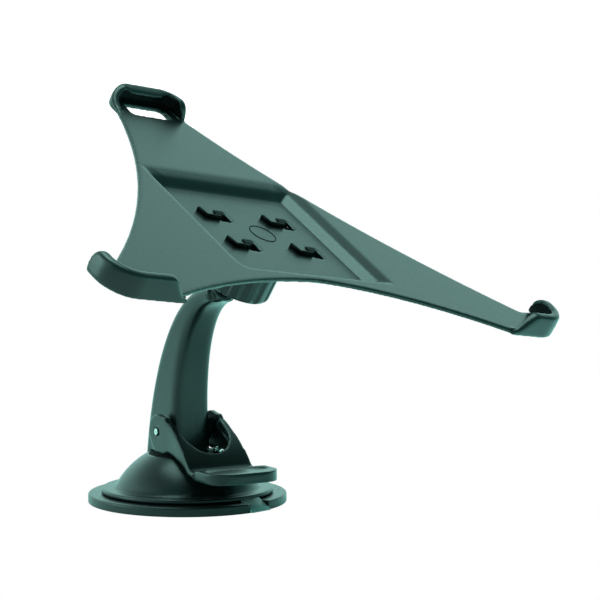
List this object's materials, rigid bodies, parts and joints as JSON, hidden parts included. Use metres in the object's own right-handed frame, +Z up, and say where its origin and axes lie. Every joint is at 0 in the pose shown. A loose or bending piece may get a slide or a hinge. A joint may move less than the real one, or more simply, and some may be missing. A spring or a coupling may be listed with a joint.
{
  "type": "tablet windscreen mount",
  "caption": "Windscreen suction mount with a lever lock, a curved arm, a ball head with a fluted clamp nut, and a three-point clip-in tablet cradle.",
  "frame": {"origin": "centre of the suction pad's underside", "axes": "+Z up, out of the dome; -Y towards the finger tab of the lever; +X to the right of a person facing the cradle"},
  "size_m": [0.2411, 0.1842, 0.1783],
  "materials": {
    "black_abs": "satin",
    "pad_rubber": "matte",
    "bright_steel": "bright",
    "acetal": "natural"
  },
  "bodies": {
    "base": {"suction_pad": "pad_rubber", "base_dome": "black_abs", "arm": "black_abs", "foot_screw_1": "bright_steel", "foot_screw_2": "bright_steel", "spring_washer": "bright_steel", "return_spring": "bright_steel", "stud_sleeve": "bright_steel"},
    "lever": {"lever": "black_abs", "lever_pin": "bright_steel", "pin_clip": "bright_steel", "cam_bush": "acetal"},
    "stem": {"draw_stem": "acetal", "pad_core": "acetal", "core_screw": "bright_steel"},
    "stud": {"ball_stud": "bright_steel"},
    "ring": {"clamp_ring": "acetal"},
    "head": {"claw_head": "black_abs"},
    "nut": {"clamp_nut": "black_abs"},
    "cradle": {"cradle": "black_abs"}
  },
  "joints": [
    {"name": "lever_hinge", "type": "hinge", "parent": "base", "child": "lever", "pos_m": [0, 0.0012, 0.0306], "axis": [-1, 0, 0], "range_deg": [0, 70]},
    {"name": "stem_slide", "type": "slide", "parent": "base", "child": "stem", "axis": [0, 0, -1], "range_m": [0, 0.00175], "deforming": ["return_spring", "suction_pad"]},
    {"name": "ball_pan", "type": "hinge", "parent": "base", "child": "stud", "pos_m": [0, -0.044, 0.0996], "axis": [0, -0.848, 0.5299], "range_deg": [-40, 40]},
    {"name": "head_tilt", "type": "hinge", "parent": "stud", "child": "ring", "pos_m": [0, -0.044, 0.0996], "axis": [-0.9146, 0.2143, 0.3429], "range_deg": [-60, 4]},
    {"name": "head_roll", "type": "hinge", "parent": "ring", "child": "head", "pos_m": [0, -0.044, 0.0996], "axis": [0.2164, -0.4568, 0.8628], "range_deg": [-90, 90]},
    {"name": "nut_turn", "type": "hinge", "parent": "head", "child": "nut", "pos_m": [0, -0.044, 0.0996], "axis": [0.2164, -0.4568, 0.8628], "range_deg": [0, 180]},
    {"name": "cradle_slide", "type": "slide", "parent": "head", "child": "cradle", "axis": [-0.1207, 0.8645, 0.488], "range_m": [0, 0.004]}
  ],
  "couplings": [
    {"joint": "stem_slide", "follows": "lever_hinge", "m_per_rad": 0.0014085}
  ]
}
